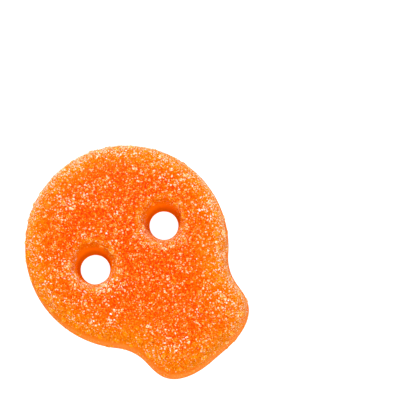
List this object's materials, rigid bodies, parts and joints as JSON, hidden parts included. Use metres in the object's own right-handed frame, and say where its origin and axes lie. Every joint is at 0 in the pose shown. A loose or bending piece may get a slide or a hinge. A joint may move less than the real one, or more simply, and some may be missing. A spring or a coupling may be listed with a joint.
{
  "type": "sour gummy skull",
  "caption": "Sugar-coated orange fruit gum moulded as a plain skull, with a round cranium, a blunt leaning jaw and round eye holes right through.",
  "frame": {"origin": "on the flat back, under the middle of the outline's box", "axes": "+Z out of the domed face, +Y towards the crown, +X to the right of the face as it is looked at"},
  "size_m": [0.0318, 0.0384, 0.0095],
  "materials": {
    "orange_gum": "satin",
    "sugar": "gloss"
  },
  "bodies": {
    "root": {"gummy_skull": "orange_gum"}
  },
  "joints": []
}
